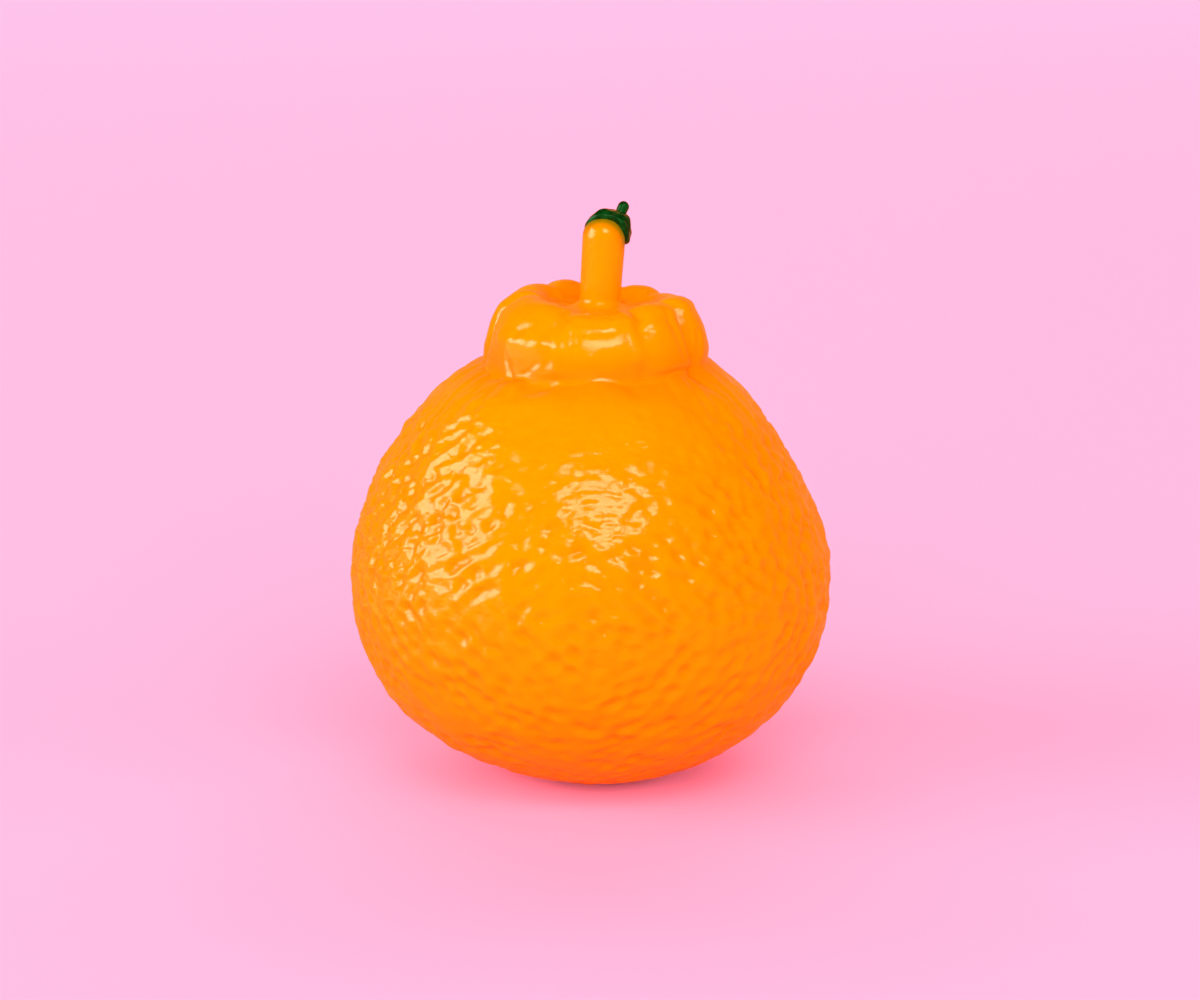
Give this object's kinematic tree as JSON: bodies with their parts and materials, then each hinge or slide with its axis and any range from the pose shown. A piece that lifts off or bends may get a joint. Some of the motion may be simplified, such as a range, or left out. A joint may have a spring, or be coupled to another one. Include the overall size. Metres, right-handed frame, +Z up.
{
  "type": "mandarin orange",
  "caption": "Necked mandarin orange with a pebbled glossy rind, a lobed collar on its shoulder, and a small green calyx on a short smooth peg.",
  "frame": {"origin": "on the flat spot the fruit rests on, right under the middle of its widest ring", "axes": "+Z up through the collar and the peg, -Y towards the viewer of the front, +X to that viewer's right"},
  "size_m": [0.0859, 0.0858, 0.1037],
  "materials": {
    "rind": "bright orange citrus rind, wet-looking gloss, slightly translucent, covered with shallow pits that are a deeper orange",
    "calyx": "dark green plant tissue with a wet-looking gloss"
  },
  "bodies": {
    "root": {"fruit": "rind", "calyx": "calyx"}
  },
  "joints": []
}
